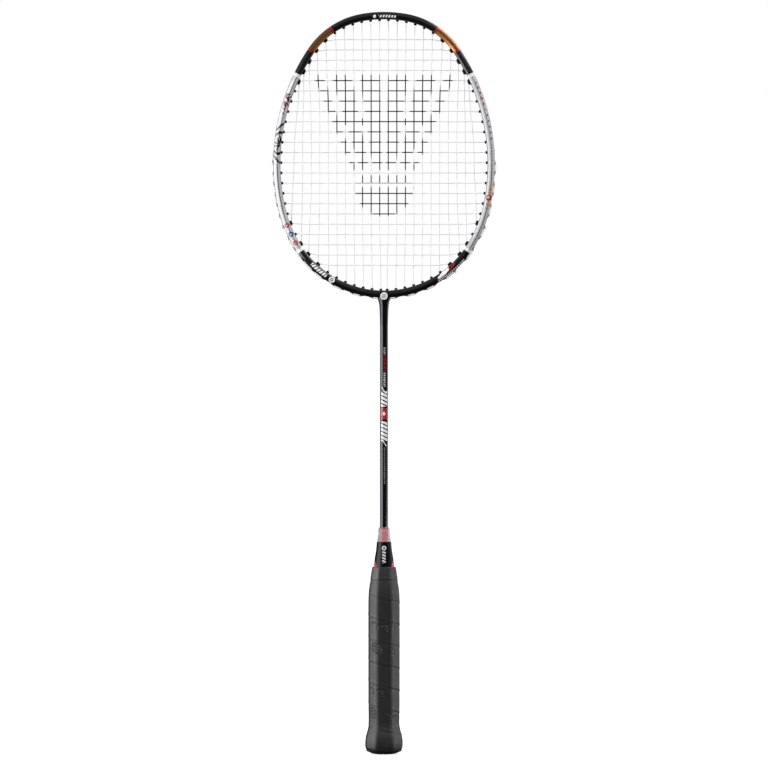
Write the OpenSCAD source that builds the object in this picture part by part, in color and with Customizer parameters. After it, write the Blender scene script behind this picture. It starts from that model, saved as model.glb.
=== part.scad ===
// Badminton racket: hollow composite head, moulded T-joint, tubular shaft, two-part cone,
// wooden handle with a wrapped grip, nylon stringing through plastic grommets.
// Millimetres. The origin is the centre of the butt face, +Z runs up the racket to the top of the
// head, +X runs across the head and -Y is the front face.

/* [Head outline] */
// Length of the racket, from the butt face to the top of the head
total_length = 675; // [665:1:680]
// Radius of the arc across the top of the head
top_r = 118; // [116:0.5:120]
// Radius of the two shoulder arcs
shoulder_r = 73.5; // [72.5:0.5:74.5]
// Radius of the two long side arcs
side_r = 188; // [186:1:190]
// Radius of the two arcs below the widest point
lower_r = 115; // [113:1:117]

/* [Frame tube] */
// Width of the frame tube, seen from the front
tube_w = 6.6; // [6.4:0.1:7]
// Depth of the frame tube, from the front ridge to the back ridge
tube_d = 10.6; // [10:0.1:11]
// Thickness of the tube's wall
tube_wall = 0.9; // [0.7:0.05:1]
// Depth of the string groove in the outer rim
groove_d = 1.2; // [1:0.1:1.3]
// Width of the string groove
groove_w = 4; // [3.8:0.1:4.4]

/* [Stringing] */
// Diameter of the string
string_d = 0.7; // [0.6:0.01:0.75]
// Distance between two main strings
main_pitch = 7.79; // [7.7:0.01:7.85]
// Distance between two cross strings
cross_pitch = 9.33; // [9.25:0.01:9.4]
// Height of the first cross string below the top of the head
first_cross_drop = 25.1; // [24.5:0.1:25.5]

/* [Shaft and T-joint] */
// Outside diameter of the shaft
shaft_d = 7.1; // [6.8:0.1:7.3]
// Inside diameter of the shaft
shaft_bore = 5.2; // [4.8:0.1:5.4]
// Height of the T-joint's lower edge
tee_z = 389; // [387:1:391]
// Height of the shaft's lower end, inside the handle
shaft_z = 92; // [80:1:110]

/* [Handle] */
// Width of the wrapped grip
grip_w = 28.6; // [28.2:0.1:28.8]
// Depth of the wrapped grip, from front to back
grip_depth = 26; // [25.6:0.1:26.4]
// Size of the octagon's 45 degree corners
grip_corner = 7.4; // [7:0.1:7.8]
// Thickness of the grip wrap
wrap_t = 1.2; // [1:0.1:1.4]
// Height at which the grip wrap ends
wrap_top = 168; // [167:0.5:169]

/* [Hidden] */
$fn = 48;

// Angles around the outline, from the top, at which one arc passes into the next. The string
// groove ends part of the way down the side arc, so that arc is in two stretches.
ARC_FROM = [0, 10, 56, 88, 102, 124, 180];
ARC_R = [top_r, shoulder_r, side_r, side_r, lower_r];
GROOVED_ARCS = 3;
// Each arc but the last runs this many degrees into the next one, and every second arc lies this
// much further out, so that neighbours fuse and no two of their surfaces coincide
ARC_LAP = 0.05;
ARC_STEP = 0.01;

// Section of the tube: half height of the flat sides, and the bevel beside them
FLAT_H = 2.9;
BEVEL_W = 0.5;
BEVEL_H = 4.1;

// Stringing: 11 mains and 23 holes for the crosses on each side
MAINS = 11;
CROSSES = 23;
TOP_ONLY = 6;
BOTTOM_ONLY = 7;
// Crosses whose hole is shared with a main, counted from the top
SHOULDER_ROWS = [1, 2, 3, 4, 5];
LOWER_ROWS = [19, 21, 22, 23];
SIDE_ROWS = [for (j = [1:CROSSES]) if (!among(j, SHOULDER_ROWS) && !among(j, LOWER_ROWS)) j];
// The mains spread a little towards the frame
TOP_FAN = 1.05;
BOTTOM_FAN = 1.04;
BOTTOM_SHIFT = -1.2;
// The mains and the crosses lie in two layers, one behind the other
LAYER_Y = string_d / 2 + 0.01;
STRING_SIDES = 6;
KNOT_R = 0.8;

// Grommets: barrel and bore radii, then the same for a hole that two strings share
BARREL_R = 1.2;
BORE_R = 0.75;
SHARED_BARREL_R = 1.4;
SHARED_BORE_R = 1;
NUB = 1.2;
FLANGE_R = 1.9;
FLANGE_T = 0.5;

SHAFT_R = shaft_d / 2;
TEE_TOP = 416.5;
TEE_SOCKET = 14;
INSERT_LOW = 20;
INSERT_HIGH = 8;

// Outline of the wrapped handle: height and half width
HANDLE = [
    [2.5, 15.5], [5, 16.7], [9, 17.2], [12.5, 17.1], [16.5, 16.6], [20, 15.5], [23.5, 14.6],
    [27, 14.1], [50, grip_w / 2], [138, grip_w / 2], [145, 14.1], [149, 13.75], [154, 13.1],
    [158, 12.3], [wrap_top, 10.42]
];
// Outline of the butt cap below the wrap
CAP_END = [[0, 7.6], [1.2, 12]];
CAP_RISE = 24;
CAP_FLOOR = 4;
COLLAR = [[158.6, 12.6], [164, 11.75], [170.2, 10.75]];
// Cone: the sleeve's upper edge, the clear tip's top, its lip inside the sleeve and its roof
CONE_Z = 193.1;
CONE_TOP = 206.1;
CONE_LIP = 2.6;
CONE_LIP_R = 5.9;
CONE_ROOF = 1.2;
LINER_R = 4.1;
LINER_RIBS = 16;
// Core: half width over the wrap inside the butt cap, height above which it follows the wrap's
// outline, its round neck, and the lightening bore from the butt end
CORE_W = 14.1;
CORE_STRAIGHT = 27;
CORE_TOP = 190;
NECK_R = 5.2;
NECK_FOOT_R = 8.4;
CORE_BORE_R = 5.5;
CORE_BORE_H = 70;
PLUG_H = 8;
// Butt: nails through the cap into the core, and the badge
NAIL_Z = 14;
NAIL_R = 0.7;
NAIL_FROM = 7;
NAIL_LENGTH = 8.3;
BADGE_R = 5;
BADGE_T = 0.8;

function among(v, list) = len(search(v, list)) > 0;
function reverse(list) = [for (i = [len(list) - 1:-1:0]) list[i]];

// --- Outline of the head: tangent arcs, with angles measured from the top towards +X ---

function dir(a) = [sin(a), cos(a)];
function radius(i) = i < len(ARC_R) ? ARC_R[i] : throat_r;
function centre(i) = i == 0 ? [0, total_length - top_r]
    : centre(i - 1) + dir(ARC_FROM[i]) * (radius(i - 1) - radius(i));
// The last arc has its centre on the racket's axis
throat_r = lower_r + centre(len(ARC_R) - 1).x / sin(ARC_FROM[len(ARC_R)]);

function lap(i) = i < len(ARC_R) ? ARC_LAP : 0;
function arc_of(a, i = 0) = i == len(ARC_R) || a < ARC_FROM[i + 1] ? i : arc_of(a, i + 1);
// Point of the outline at an angle, u outwards from the tube's inner edge
function rim(a, u) = centre(arc_of(a)) + dir(a) * (radius(arc_of(a)) - tube_w + u);
function middle(lo, hi) = (lo + hi) / 2;
// Angle at which the inner edge is at a height
function angle_at_z(z, lo = 0, hi = 180) = hi - lo < 0.001 ? lo
    : rim(middle(lo, hi), 0).y > z ? angle_at_z(z, middle(lo, hi), hi)
    : angle_at_z(z, lo, middle(lo, hi));
// Angles at which the inner edge is at a distance from the axis, above and below
function angle_at_top(x, lo = 0, hi = 80) = hi - lo < 0.001 ? lo
    : rim(middle(lo, hi), 0).x < x ? angle_at_top(x, middle(lo, hi), hi)
    : angle_at_top(x, lo, middle(lo, hi));
function angle_at_bottom(x, lo = 110, hi = 180) = hi - lo < 0.001 ? lo
    : rim(middle(lo, hi), 0).x > x ? angle_at_bottom(x, middle(lo, hi), hi)
    : angle_at_bottom(x, lo, middle(lo, hi));

// --- Places of the strings and of their holes ---

function main_x(k) = (k - 0.5) * main_pitch;
function cross_z(j) = total_length - first_cross_drop - (j - 1) * cross_pitch;
function row_angle(j) = angle_at_z(cross_z(j));
function top_angle(k) = k <= TOP_ONLY ? angle_at_top(main_x(k) * TOP_FAN)
    : row_angle(SHOULDER_ROWS[k - TOP_ONLY - 1]);
function bottom_angle(k) = k <= BOTTOM_ONLY
    ? angle_at_bottom(main_x(k) * BOTTOM_FAN + BOTTOM_SHIFT)
    : row_angle(reverse(LOWER_ROWS)[k - BOTTOM_ONLY - 1]);

TOP_HOLES = [for (k = [1:TOP_ONLY]) top_angle(k)];
BOTTOM_HOLES = [for (k = [1:BOTTOM_ONLY]) bottom_angle(k)];
SHARED_HOLES = [for (j = concat(SHOULDER_ROWS, LOWER_ROWS)) row_angle(j)];
SIDE_HOLES = [for (j = SIDE_ROWS) row_angle(j)];

function grooved(a) = a < ARC_FROM[GROOVED_ARCS];
// Height of the grommet's seat, and of the string that runs over its flange
function seat(a) = grooved(a) ? tube_w - groove_d : tube_w;
function run_height(a) = seat(a) + FLANGE_T + string_d / 2;

// --- Frame tube ---

module tube_outline(groove) {
    side = groove
        ? [[tube_w, -FLAT_H], [tube_w, -groove_w / 2], [tube_w - groove_d, -groove_w / 2],
           [tube_w - groove_d, groove_w / 2], [tube_w, groove_w / 2], [tube_w, FLAT_H]]
        : [[tube_w, -FLAT_H], [tube_w, FLAT_H]];
    polygon(concat(
        [[0, -FLAT_H], [BEVEL_W, -BEVEL_H], [tube_w / 2, -tube_d / 2], [tube_w - BEVEL_W, -BEVEL_H]],
        side,
        [[tube_w - BEVEL_W, BEVEL_H], [tube_w / 2, tube_d / 2], [BEVEL_W, BEVEL_H], [0, FLAT_H]]
    ));
}

module tube_bore(groove) {
    far = tube_w - tube_wall - (groove ? groove_d : 0);
    near_h = FLAT_H - tube_wall / 2;
    ridge_h = tube_d / 2 - tube_wall * 1.4;
    polygon([[tube_wall, -near_h], [middle(tube_wall, far), -ridge_h], [far, -near_h],
             [far, near_h], [middle(tube_wall, far), ridge_h], [tube_wall, near_h]]);
}

// One arc of the head on the +X side, with a section drawn from the tube's inner edge outwards
module arc(i) {
    translate([centre(i).x, 0, centre(i).y])
        rotate([90, 0, 0])
            rotate([0, 0, 90 - ARC_FROM[i + 1] - lap(i)])
                rotate_extrude(angle = ARC_FROM[i + 1] - ARC_FROM[i] + lap(i), $fn = 180)
                    translate([radius(i) - tube_w + (i % 2) * ARC_STEP, 0])
                        children();
}

module both_sides() {
    children();
    mirror([1, 0, 0]) children();
}

module at_rim(a) {
    translate([rim(a, 0).x, 0, rim(a, 0).y]) rotate([0, a, 0]) children();
}

module frame_hoop() {
    color("#17181a")
        difference() {
            both_sides()
                for (i = [0:len(ARC_R)])
                    arc(i)
                        difference() {
                            tube_outline(i < GROOVED_ARCS);
                            tube_bore(i < GROOVED_ARCS);
                        }
            both_sides() {
                for (a = concat(TOP_HOLES, BOTTOM_HOLES, SIDE_HOLES))
                    at_rim(a) translate([0, 0, -1]) cylinder(r = BARREL_R, h = tube_w + 2, $fn = 24);
                for (a = SHARED_HOLES)
                    at_rim(a) translate([0, 0, -1]) cylinder(r = SHARED_BARREL_R, h = tube_w + 2, $fn = 24);
            }
        }
}

// --- Grommets: a barrel through the tube, a nub inside the head and a flange on the rim ---

module grommet(a, barrel_r, bore_r) {
    at_rim(a)
        rotate_extrude($fn = 24)
            polygon([[bore_r, -NUB], [barrel_r, -NUB], [barrel_r, seat(a)], [FLANGE_R, seat(a)],
                     [FLANGE_R, seat(a) + FLANGE_T], [bore_r, seat(a) + FLANGE_T]]);
}

module grommets(angles, shared) {
    color("#101010")
        for (a = angles)
            grommet(a, shared ? SHARED_BARREL_R : BARREL_R, shared ? SHARED_BORE_R : BORE_R);
}

module grommets_top() {
    both_sides() grommets(TOP_HOLES, false);
}

module grommets_shoulder() {
    both_sides() grommets([for (j = SHOULDER_ROWS) row_angle(j)], true);
}

module grommets_right() {
    grommets(SIDE_HOLES, false);
}

module grommets_left() {
    mirror([1, 0, 0]) grommets(SIDE_HOLES, false);
}

module grommets_lower_corner() {
    both_sides() grommets([for (j = LOWER_ROWS) row_angle(j)], true);
}

module grommets_bottom() {
    both_sides() grommets(BOTTOM_HOLES, false);
}

// --- Strings: each is one length of nylon, laced through the holes, with a knot at each end ---

function at(side, a, u) = [side * rim(a, u).x, rim(a, u).y];
// Out through a hole, along the rim and in through the next one
function lace(s1, a1, s2, a2) = [
    at(s1, a1, -NUB), at(s1, a1, run_height(a1)), at(s2, a2, run_height(a2)), at(s2, a2, -NUB)
];
function knot(side, a) = [
    at(side, a, run_height(a) + 2 * KNOT_R), at(side, a, run_height(a) + 1.5 * KNOT_R),
    at(side, a, run_height(a) + 0.5 * KNOT_R), at(side, a, run_height(a)), at(side, a, -NUB)
];
KNOT_SIZES = [0.4, 1, 1, 0.4, 0];

// Outwards from the middle pair of mains to the last one: turns below at odd mains, above at even
function main_side(side) = concat(
    [for (k = [1:MAINS - 1])
        for (p = k % 2 == 1 ? lace(side, bottom_angle(k), side, bottom_angle(k + 1))
            : lace(side, top_angle(k), side, top_angle(k + 1))) p],
    reverse(knot(side, bottom_angle(MAINS)))
);
MAIN_ROUTE = concat(
    reverse(main_side(-1)), lace(-1, top_angle(1), 1, top_angle(1)), main_side(1)
);
CROSS_ROUTE = concat(
    knot(-1, row_angle(1)),
    [for (j = [1:CROSSES - 1])
        for (p = lace(j % 2 == 1 ? 1 : -1, row_angle(j), j % 2 == 1 ? 1 : -1, row_angle(j + 1))) p],
    reverse(knot(1, row_angle(CROSSES)))
);

function unit(v) = v / norm(v);
function step(route, i) = unit(route[i + 1] - route[i]);
function heading(route, i) = i == 0 ? step(route, 0)
    : i == len(route) - 1 ? step(route, i - 1)
    : unit(step(route, i - 1) + step(route, i));
// A mitred ring is longer across the bend
function mitre(route, i) = i == 0 || i == len(route) - 1 ? 1
    : 1 / max(0.5, heading(route, i) * step(route, i));
function ring_r(i, n) = max(string_d / 2, (i < 5 ? KNOT_SIZES[i] : 0) * KNOT_R,
    (n - 1 - i < 5 ? KNOT_SIZES[n - 1 - i] : 0) * KNOT_R);

// Tube along a route that stays in one layer
module laced(route, y) {
    n = len(route);
    points = [
        for (i = [0:n - 1])
            for (s = [0:STRING_SIDES - 1])
                let (
                    angle = 360 * (s + 0.5) / STRING_SIDES,
                    h = heading(route, i),
                    across = [h.y, -h.x] * cos(angle) * mitre(route, i),
                    r = ring_r(i, n)
                )
                [route[i].x + across.x * r, y + sin(angle) * r, route[i].y + across.y * r]
    ];
    walls = [
        for (i = [0:n - 2])
            for (s = [0:STRING_SIDES - 1])
                let (t = (s + 1) % STRING_SIDES, b = i * STRING_SIDES)
                [b + s, b + t, b + STRING_SIDES + t, b + STRING_SIDES + s]
    ];
    first = [for (s = [STRING_SIDES - 1:-1:0]) s];
    last = [for (s = [0:STRING_SIDES - 1]) (n - 1) * STRING_SIDES + s];
    polyhedron(points, concat([first], walls, [last]));
}

module main_string() {
    color("#e8e8e8") laced(MAIN_ROUTE, LAYER_Y);
}

module cross_string() {
    color("#e8e8e8") laced(CROSS_ROUTE, -LAYER_Y);
}

// --- T-joint, shaft and what is inside them ---

module tee_joint() {
    neck = [[SHAFT_R + 0.25, tee_z], [SHAFT_R + 0.35, tee_z + 5], [4.05, 403], [4.4, 408],
            [5, 411.2], [6.2, 413.6], [8.5, TEE_TOP]];
    color("#101113")
        difference() {
            intersection() {
                rotate_extrude() polygon(concat([[0, tee_z]], neck, [[0, TEE_TOP]]));
                translate([-15, 0.2 - tube_d / 2, tee_z]) cube([30, tube_d - 0.4, TEE_TOP - tee_z]);
            }
            both_sides() arc(len(ARC_R)) tube_outline(false);
            translate([0, 0, tee_z - 1]) cylinder(r = SHAFT_R, h = TEE_SOCKET + 1);
            translate([0, 0, tee_z]) cylinder(d = shaft_bore, h = TEE_SOCKET + INSERT_HIGH);
        }
}

module tee_insert() {
    top = tee_z + TEE_SOCKET;
    color("#30353a")
        translate([0, 0, top - INSERT_LOW]) cylinder(d = shaft_bore, h = INSERT_LOW + INSERT_HIGH);
}

module shaft() {
    color("#0c0d0f")
        translate([0, 0, shaft_z])
            difference() {
                cylinder(r = SHAFT_R, h = tee_z + TEE_SOCKET - shaft_z);
                translate([0, 0, -1]) cylinder(d = shaft_bore, h = tee_z + TEE_SOCKET - shaft_z + 2);
            }
}

module shaft_plug() {
    color("#c9b48a") translate([0, 0, shaft_z]) cylinder(d = shaft_bore, h = PLUG_H);
}

// --- Cone: clear hollow tip round a ribbed liner, and a black sleeve over the handle's neck ---

module cone_tip() {
    color([0.85, 0.85, 0.85, 0.4])
        rotate_extrude()
            polygon([[SHAFT_R, CONE_TOP], [4.5, CONE_TOP], [4.9, CONE_TOP - 0.8], [6.4, CONE_Z],
                     [CONE_LIP_R, CONE_Z], [CONE_LIP_R, CONE_Z - CONE_LIP],
                     [NECK_R, CONE_Z - CONE_LIP], [NECK_R + 0.3, CONE_Z],
                     [LINER_R, CONE_TOP - CONE_ROOF], [SHAFT_R, CONE_TOP - CONE_ROOF]]);
}

module cone_liner() {
    height = CONE_TOP - CONE_ROOF - CORE_TOP;
    color("#c8505a")
        translate([0, 0, CORE_TOP])
            difference() {
                cylinder(r = LINER_R, h = height);
                translate([0, 0, -1]) cylinder(r = SHAFT_R, h = height + 2);
                for (i = [0:LINER_RIBS - 1])
                    rotate([0, 0, i * 360 / LINER_RIBS])
                        translate([LINER_R - 0.25, -0.3, -1]) cube([1, 0.6, height + 2]);
            }
}

module cone_sleeve() {
    color("#15161a")
        rotate_extrude()
            polygon([[NECK_FOOT_R, wrap_top], [9.45, wrap_top], [9.45, 170.4], [9.1, 172.5],
                     [8.8, 175.5], [8.6, 177.8], [8.2, 179.7], [7.75, 182.3], [7.35, 185],
                     [7, 187.8], [6.8, 190.6], [6.6, CONE_Z], [CONE_LIP_R, CONE_Z],
                     [CONE_LIP_R, CONE_Z - CONE_LIP], [NECK_R, CONE_Z - CONE_LIP],
                     [NECK_R, CORE_TOP]]);
}

// --- Handle: octagonal wood, flared butt cap, wrap and finishing tape ---

// Octagon at a height: half width w of the wrapped handle, drawn t inside its surface
function octagon(z, w, t) =
    let (
        d = w * grip_depth / grip_w - t,
        c = w * grip_corner / (grip_w / 2) - t * (2 - sqrt(2)),
        x = w - t
    )
    [[x - c, -d, z], [x, c - d, z], [x, d - c, z], [x - c, d, z],
     [c - x, d, z], [-x, d - c, z], [-x, c - d, z], [c - x, -d, z]];

module loft(rings) {
    n = len(rings);
    walls = [for (i = [0:n - 2]) for (s = [0:7])
        [i * 8 + s, i * 8 + 8 + s, i * 8 + 8 + (s + 1) % 8, i * 8 + (s + 1) % 8]];
    foot = [for (s = [0:7]) s];
    head = [for (s = [7:-1:0]) (n - 1) * 8 + s];
    polyhedron([for (ring = rings) for (p = ring) p], concat([foot], walls, [head]));
}

// A tube: up the outer rings and back down the inner ones
module loft_shell(outer, inner) {
    rings = concat(outer, reverse(inner));
    n = len(rings);
    walls = [for (i = [0:n - 1]) for (s = [0:7])
        [i * 8 + s, (i + 1) % n * 8 + s, (i + 1) % n * 8 + (s + 1) % 8, i * 8 + (s + 1) % 8]];
    polyhedron([for (ring = rings) for (p = ring) p], walls);
}

module nail_shank(extra) {
    both_sides()
        translate([NAIL_FROM, 0, NAIL_Z])
            rotate([0, 90, 0]) cylinder(r = NAIL_R, h = NAIL_LENGTH + extra, $fn = 24);
}

module handle_core() {
    straight = octagon(CAP_FLOOR, CORE_W, wrap_t);
    above = [for (p = HANDLE) if (p[0] >= CORE_STRAIGHT) octagon(p[0], p[1], wrap_t)];
    color("#c79a5f")
        difference() {
            union() {
                loft(concat([straight], above));
                translate([0, 0, wrap_top])
                    cylinder(r1 = NECK_FOOT_R, r2 = NECK_R, h = CORE_TOP - wrap_top);
            }
            translate([0, 0, shaft_z]) cylinder(r = SHAFT_R, h = total_length);
            translate([0, 0, CAP_FLOOR - 1]) cylinder(r = CORE_BORE_R, h = CORE_BORE_H);
            nail_shank(1);
        }
}

module butt_cap() {
    flare = [for (p = HANDLE) if (p[0] <= CAP_RISE) octagon(p[0], p[1], wrap_t)];
    end = [for (p = CAP_END) octagon(p[0], p[1], 0)];
    color("#131416")
        difference() {
            loft(concat(end, flare));
            translate([0, 0, CAP_FLOOR])
                loft([octagon(0, CORE_W, wrap_t), octagon(CAP_RISE, CORE_W, wrap_t)]);
            translate([0, 0, -1]) cylinder(r = BADGE_R, h = BADGE_T + 1);
            nail_shank(2);
        }
}

module butt_badge() {
    color("#d8d8d8") cylinder(r = BADGE_R, h = BADGE_T);
}

module butt_nails() {
    color("#b9bcc0") nail_shank(0);
}

module grip_wrap() {
    color("#3a3b3d")
        loft_shell([for (p = HANDLE) octagon(p[0], p[1], 0)], [for (p = HANDLE) octagon(p[0], p[1], wrap_t)]);
}

module collar_tape() {
    // The tape's inside follows the wrap's outside, up to the wrap's end
    under = [[158.6, 12.19], [wrap_top, 10.42], [170.2, 10.42]];
    color("#2b2c2e")
        loft_shell([for (p = COLLAR) octagon(p[0], p[1], 0)], [for (p = under) octagon(p[0], p[1], 0)]);
}

frame_hoop();
tee_joint();
tee_insert();
shaft();
shaft_plug();
cone_tip();
cone_liner();
cone_sleeve();
handle_core();
butt_cap();
butt_badge();
butt_nails();
grip_wrap();
collar_tape();
grommets_top();
grommets_shoulder();
grommets_left();
grommets_right();
grommets_lower_corner();
grommets_bottom();
main_string();
cross_string();
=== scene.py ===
"""Badminton racket: the visible surfaces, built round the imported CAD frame.

Metres, in the frame of the CAD: +Z runs up the racket from the butt face, +X across the head, and
-Y is the front.
"""

import math

import bpy
import numpy as np
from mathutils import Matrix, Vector


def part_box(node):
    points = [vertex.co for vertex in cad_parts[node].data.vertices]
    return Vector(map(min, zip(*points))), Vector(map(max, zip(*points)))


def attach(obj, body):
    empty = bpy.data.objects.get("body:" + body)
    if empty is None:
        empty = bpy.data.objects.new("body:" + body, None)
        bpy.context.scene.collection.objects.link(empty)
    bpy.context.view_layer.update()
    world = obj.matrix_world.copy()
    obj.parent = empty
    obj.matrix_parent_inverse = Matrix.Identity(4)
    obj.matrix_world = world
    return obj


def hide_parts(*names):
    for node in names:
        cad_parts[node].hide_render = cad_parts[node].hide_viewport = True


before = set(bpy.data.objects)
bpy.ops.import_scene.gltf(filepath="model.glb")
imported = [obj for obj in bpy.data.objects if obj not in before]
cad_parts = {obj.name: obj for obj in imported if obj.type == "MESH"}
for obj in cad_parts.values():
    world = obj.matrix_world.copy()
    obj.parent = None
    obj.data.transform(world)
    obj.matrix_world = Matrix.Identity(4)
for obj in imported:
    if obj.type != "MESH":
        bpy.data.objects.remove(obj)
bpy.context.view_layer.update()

MM = 0.001
BODY = "root"

# ---- Outline of the head: tangent arcs, with angles measured from the top towards +X ----

TOP_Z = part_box("frame_hoop")[1].z
ARC_R = [118 * MM, 73.5 * MM, 188 * MM, 115 * MM]
ARC_FROM = [math.radians(a) for a in (0, 10, 56, 102, 124)]
TUBE_W = 6.6 * MM
TUBE_D = 10.6 * MM
GROOVE_W = 4 * MM
GROOVE_D = 1.2 * MM
GROOVE_END = math.radians(88)


def outward(a):
    return np.array([math.sin(a), math.cos(a)])


def arcs_of_head():
    """Centre, radius and first angle of each arc. The last one's centre is on the racket's axis."""
    centre = np.array([0.0, TOP_Z - ARC_R[0]])
    arcs = [(centre, ARC_R[0], 0.0)]
    for i in range(1, len(ARC_R)):
        centre = centre + outward(ARC_FROM[i]) * (ARC_R[i - 1] - ARC_R[i])
        arcs.append((centre, ARC_R[i], ARC_FROM[i]))
    last = ARC_R[-1] + centre[0] / math.sin(ARC_FROM[-1])
    arcs.append((centre + outward(ARC_FROM[-1]) * (ARC_R[-1] - last), last, ARC_FROM[-1]))
    return arcs


ARCS = arcs_of_head()


def rim(a, u):
    """Point (x, z) of the +X side at angle a, u outwards from the tube's inner edge."""
    centre, radius, _ = [arc for arc in ARCS if arc[2] <= a + 1e-9][-1]
    return centre + outward(a) * (radius - TUBE_W + u)


def by_rim(side, a, u, along_tube=0.0, y=0.0):
    """3-D point at angle a, u outwards from the tube's inner edge. side is 1 for +X and -1 for -X."""
    x, z = rim(a, u)
    out_x, out_z = outward(a)
    return np.array([side * (x + out_z * along_tube), y, z - out_x * along_tube])


def find_angle(reached, low=0.0, high=math.pi):
    """The angle at which reached(angle) turns true."""
    for _ in range(40):
        mid = (low + high) / 2
        if reached(mid):
            high = mid
        else:
            low = mid
    return high


def along(a):
    """Length of the tube's middle line from the top to angle a."""
    length = 0.0
    for i, (_, radius, start) in enumerate(ARCS):
        end = ARCS[i + 1][2] if i + 1 < len(ARCS) else math.pi
        length += (radius - TUBE_W / 2) * (min(max(a, start), end) - start)
    return length


def along_at_height(z):
    """Length of the tube's middle line from the top down to a height in millimetres."""
    return along(find_angle(lambda a: rim(a, TUBE_W / 2)[1] < z * MM))


# ---- Places of the strings and of their holes ----

MAINS = 11
CROSSES = 23
MAIN_PITCH = 7.79 * MM
CROSS_PITCH = 9.33 * MM
FIRST_CROSS_DROP = 25.1 * MM
TOP_ONLY = 6
BOTTOM_ONLY = 7
SHOULDER_ROWS = [1, 2, 3, 4, 5]
LOWER_ROWS = [23, 22, 21, 19]
STRING_R = 0.42 * MM
FLANGE_T = 0.5 * MM
# How far a grommet stands proud inside the head
NUB = 1.6 * MM
# Where a string leaves its nub
NUB_END = -NUB - 0.4 * MM


def main_x(k):
    return (k - 0.5) * MAIN_PITCH


def cross_z(j):
    return TOP_Z - FIRST_CROSS_DROP - (j - 1) * CROSS_PITCH


def row_angle(j):
    return find_angle(lambda a: rim(a, 0)[1] < cross_z(j))


def top_angle(k):
    if k > TOP_ONLY:
        return row_angle(SHOULDER_ROWS[k - TOP_ONLY - 1])
    return find_angle(lambda a: rim(a, 0)[0] > main_x(k) * 1.05, 0, math.radians(80))


def bottom_angle(k):
    if k > BOTTOM_ONLY:
        return row_angle(LOWER_ROWS[k - BOTTOM_ONLY - 1])
    hole_x = main_x(k) * 1.04 - 1.2 * MM
    return find_angle(lambda a: rim(a, 0)[0] < hole_x, math.radians(110))


TOP_HOLES = [top_angle(k) for k in range(1, TOP_ONLY + 1)]
SHOULDER_HOLES = [row_angle(j) for j in SHOULDER_ROWS]
SHARED_ROWS = SHOULDER_ROWS + LOWER_ROWS
SIDE_HOLES = [row_angle(j) for j in range(1, CROSSES + 1) if j not in SHARED_ROWS]
LOWER_HOLES = [row_angle(j) for j in LOWER_ROWS]
BOTTOM_HOLES = [bottom_angle(k) for k in range(1, BOTTOM_ONLY + 1)]


def groove_depth(a):
    """The groove is whole at the top and fades out over a few degrees below the widest point."""
    fade = min(max((GROOVE_END - a) / math.radians(3), 0), 1)
    return GROOVE_D * fade


def seat(a):
    """Where a grommet's flange rests, outwards from the inner edge."""
    return TUBE_W - groove_depth(a)


def run_height(a):
    """Middle of a string that lies along the rim, outwards from the inner edge."""
    return seat(a) + FLANGE_T + STRING_R


# ---- Mesh helpers ----


def added(name, data):
    obj = bpy.data.objects.new(name, data)
    bpy.context.scene.collection.objects.link(obj)
    return obj


def piece(name, verts, faces, material, slot, *nodes, sharp=None):
    """A finished piece that rides on the racket and stands for the named CAD nodes."""
    mesh = bpy.data.meshes.new(name)
    mesh.from_pydata([tuple(v) for v in verts], [], [tuple(f) for f in faces])
    mesh.validate()
    return dress(added(name, mesh), material, slot, *nodes, sharp=sharp)


def dress(obj, material, slot, *nodes, sharp=None):
    obj.data.materials.append(material)
    obj.data.polygons.foreach_set("use_smooth", [True] * len(obj.data.polygons))
    if sharp is not None:
        obj.data.set_sharp_from_angle(angle=math.radians(sharp))
    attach(obj, BODY)
    if nodes:
        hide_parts(*nodes)
    return obj


def point_attribute(obj, name, vectors):
    attribute = obj.data.attributes.new(name, "FLOAT_VECTOR", "POINT")
    attribute.data.foreach_set("vector", np.asarray(vectors, np.float32).ravel())


def wall_faces(rings, sides, closed_path=False):
    """Quads between rings of equal size, each a closed loop of points."""
    faces = []
    for i in range(rings if closed_path else rings - 1):
        a, b = i * sides, (i + 1) % rings * sides
        for s in range(sides):
            t = (s + 1) % sides
            faces.append((a + s, a + t, b + t, b + s))
    return faces


def rounded(polygon, reach, steps=3):
    """A closed outline whose corners are short curves that start at most reach from the corner."""
    points = []
    count = len(polygon)
    for i, corner in enumerate(polygon):
        corner = np.array(corner, float)
        ends = []
        for other in (polygon[i - 1], polygon[(i + 1) % count]):
            way = np.array(other, float) - corner
            length = max(np.linalg.norm(way), 1e-9)
            ends.append(corner + way * min(reach / length, 0.45))
        for s in range(steps + 1):
            t = s / steps
            points.append(ends[0] * (1 - t) ** 2 + corner * 2 * t * (1 - t) + ends[1] * t * t)
    return points


def circle(half_x, half_y, z, sides):
    """Points round Z, from the front towards +X."""
    turns = [2 * math.pi * s / sides for s in range(sides)]
    return [(half_x * math.sin(turn), -half_y * math.cos(turn), z) for turn in turns]


def solid_of_rings(rings):
    """A solid from a stack of equal rings, with flat ends."""
    count, sides = len(rings), len(rings[0])
    faces = wall_faces(count, sides)
    faces.append(tuple(range(sides - 1, -1, -1)))
    faces.append(tuple((count - 1) * sides + s for s in range(sides)))
    return [point for ring in rings for point in ring], faces


def flipped(faces):
    return [face[::-1] for face in faces]


def lathe(profile, segments=64):
    """Closed solid of revolution round Z from a closed outline of (radius, z)."""
    verts = []
    for s in range(segments):
        turn = 2 * math.pi * s / segments
        verts.extend((r * math.sin(turn), -r * math.cos(turn), z) for r, z in profile)
    faces = wall_faces(segments, len(profile), closed_path=True)
    return verts, flipped(faces)


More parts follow.
